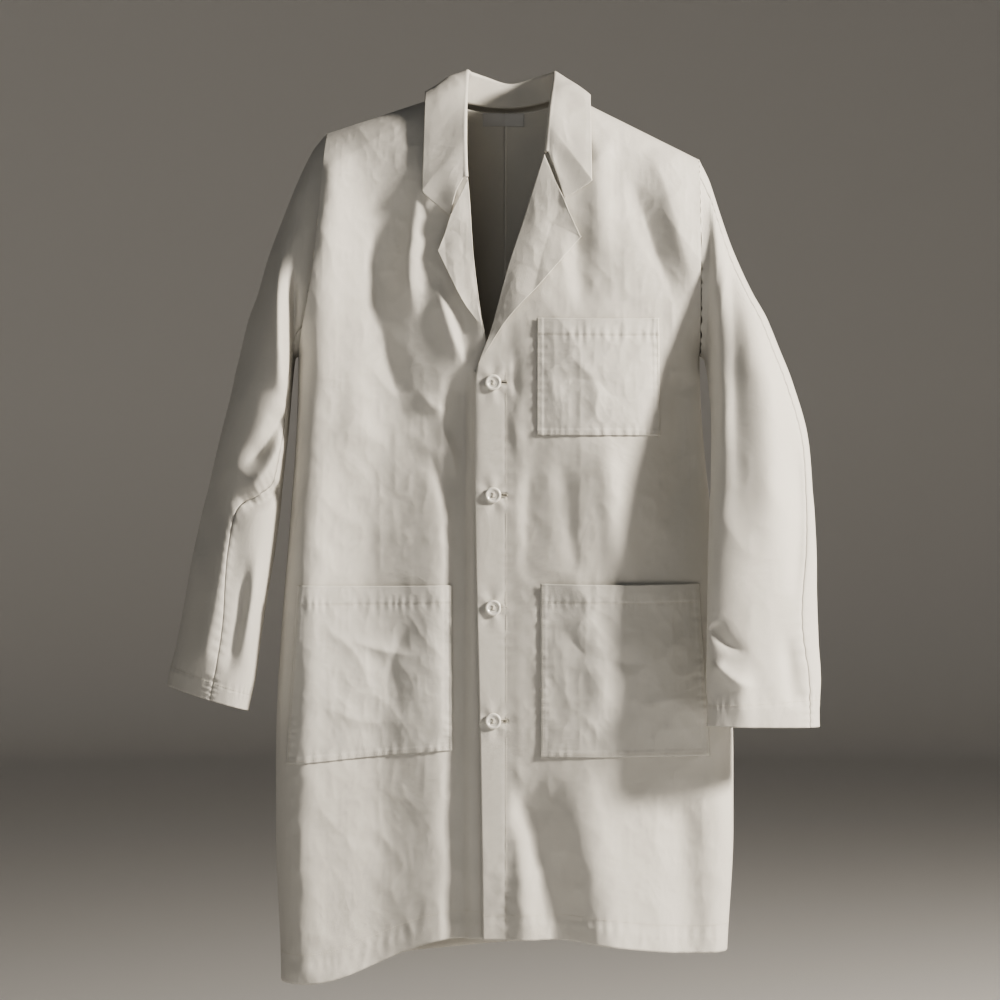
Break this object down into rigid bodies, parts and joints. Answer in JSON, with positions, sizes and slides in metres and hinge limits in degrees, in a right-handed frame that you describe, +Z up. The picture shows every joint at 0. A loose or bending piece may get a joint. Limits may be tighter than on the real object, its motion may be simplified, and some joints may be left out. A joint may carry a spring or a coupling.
{
  "type": "lab coat",
  "caption": "Knee-length white lab coat, buttoned, with notched collar, long two-piece sleeves and patch pockets, hanging from its shoulders.",
  "frame": {"origin": "middle of the neck opening, level with the back neck seam, where a hanger's hook passes", "axes": "+Z up along the centre back, -Y the buttoned front, +X the wearer's left"},
  "size_m": [0.7512, 0.2081, 1.0616],
  "materials": {
    "poly_cotton": "white poly-cotton twill, pressed, soft sheen",
    "woven_label": "blank woven satin label",
    "pearl_resin": "pearly white resin button",
    "sewing_thread": "white polyester thread"
  },
  "bodies": {
    "coat_body": {"left_front": "poly_cotton", "right_front": "poly_cotton", "left_front_facing": "poly_cotton", "right_front_facing": "poly_cotton", "left_back": "poly_cotton", "right_back": "poly_cotton", "upper_collar": "poly_cotton", "under_collar": "poly_cotton", "chest_pocket": "poly_cotton", "left_pocket": "poly_cotton", "right_pocket": "poly_cotton", "neck_label": "woven_label"},
    "right_sleeve": {"right_top_sleeve": "poly_cotton", "right_under_sleeve": "poly_cotton"},
    "left_sleeve": {"left_top_sleeve": "poly_cotton", "left_under_sleeve": "poly_cotton"},
    "left_lapel": {"left_lapel": "poly_cotton"},
    "right_lapel": {"right_lapel": "poly_cotton"},
    "left_skirt": {"left_skirt_corner": "poly_cotton", "left_corner_facing": "poly_cotton"},
    "button_1": {"button_1": "pearl_resin", "button_thread_1": "sewing_thread"},
    "button_2": {"button_2": "pearl_resin", "button_thread_2": "sewing_thread"},
    "button_3": {"button_3": "pearl_resin", "button_thread_3": "sewing_thread"},
    "button_4": {"button_4": "pearl_resin", "button_thread_4": "sewing_thread"}
  },
  "joints": [
    {"name": "right_sleeve_swing", "type": "hinge", "parent": "coat_body", "child": "right_sleeve", "pos_m": [-0.207, 0, -0.032], "axis": [0, 1, 0], "range_deg": [0, 40]},
    {"name": "left_sleeve_swing", "type": "hinge", "parent": "coat_body", "child": "left_sleeve", "pos_m": [0.225, 0, -0.062], "axis": [0, -1, 0], "range_deg": [0, 40]},
    {"name": "right_lapel_lift", "type": "hinge", "parent": "coat_body", "child": "right_lapel", "pos_m": [-0.026, -0.0658, -0.261], "axis": [-0.0948, 0.013, 0.9954], "range_deg": [0, 80]},
    {"name": "left_lapel_lift", "type": "hinge", "parent": "coat_body", "child": "left_lapel", "pos_m": [-0.03, -0.0656, -0.303], "axis": [-0.298, -0.0097, -0.9545], "range_deg": [0, 80]},
    {"name": "left_skirt_fold", "type": "hinge", "parent": "coat_body", "child": "left_skirt", "pos_m": [-0.044, -0.082, -0.755], "axis": [-0.6747, -0.0221, 0.7377], "range_deg": [0, 80]},
    {"name": "button_1_twist", "type": "hinge", "parent": "coat_body", "child": "button_1", "pos_m": [-0.014, -0.066, -0.325], "axis": [0, -1, 0], "range_deg": [-60, 60], "stiffness_Nm_per_rad": 0.0002},
    {"name": "button_2_twist", "type": "hinge", "parent": "coat_body", "child": "button_2", "pos_m": [-0.014, -0.066, -0.4544], "axis": [0, -1, 0], "range_deg": [-60, 60], "stiffness_Nm_per_rad": 0.0002},
    {"name": "button_3_twist", "type": "hinge", "parent": "coat_body", "child": "button_3", "pos_m": [-0.014, -0.066, -0.5838], "axis": [0, -1, 0], "range_deg": [-60, 60], "stiffness_Nm_per_rad": 0.0002},
    {"name": "button_4_twist", "type": "hinge", "parent": "coat_body", "child": "button_4", "pos_m": [-0.014, -0.066, -0.7132], "axis": [0, -1, 0], "range_deg": [-60, 60], "stiffness_Nm_per_rad": 0.0002}
  ]
}
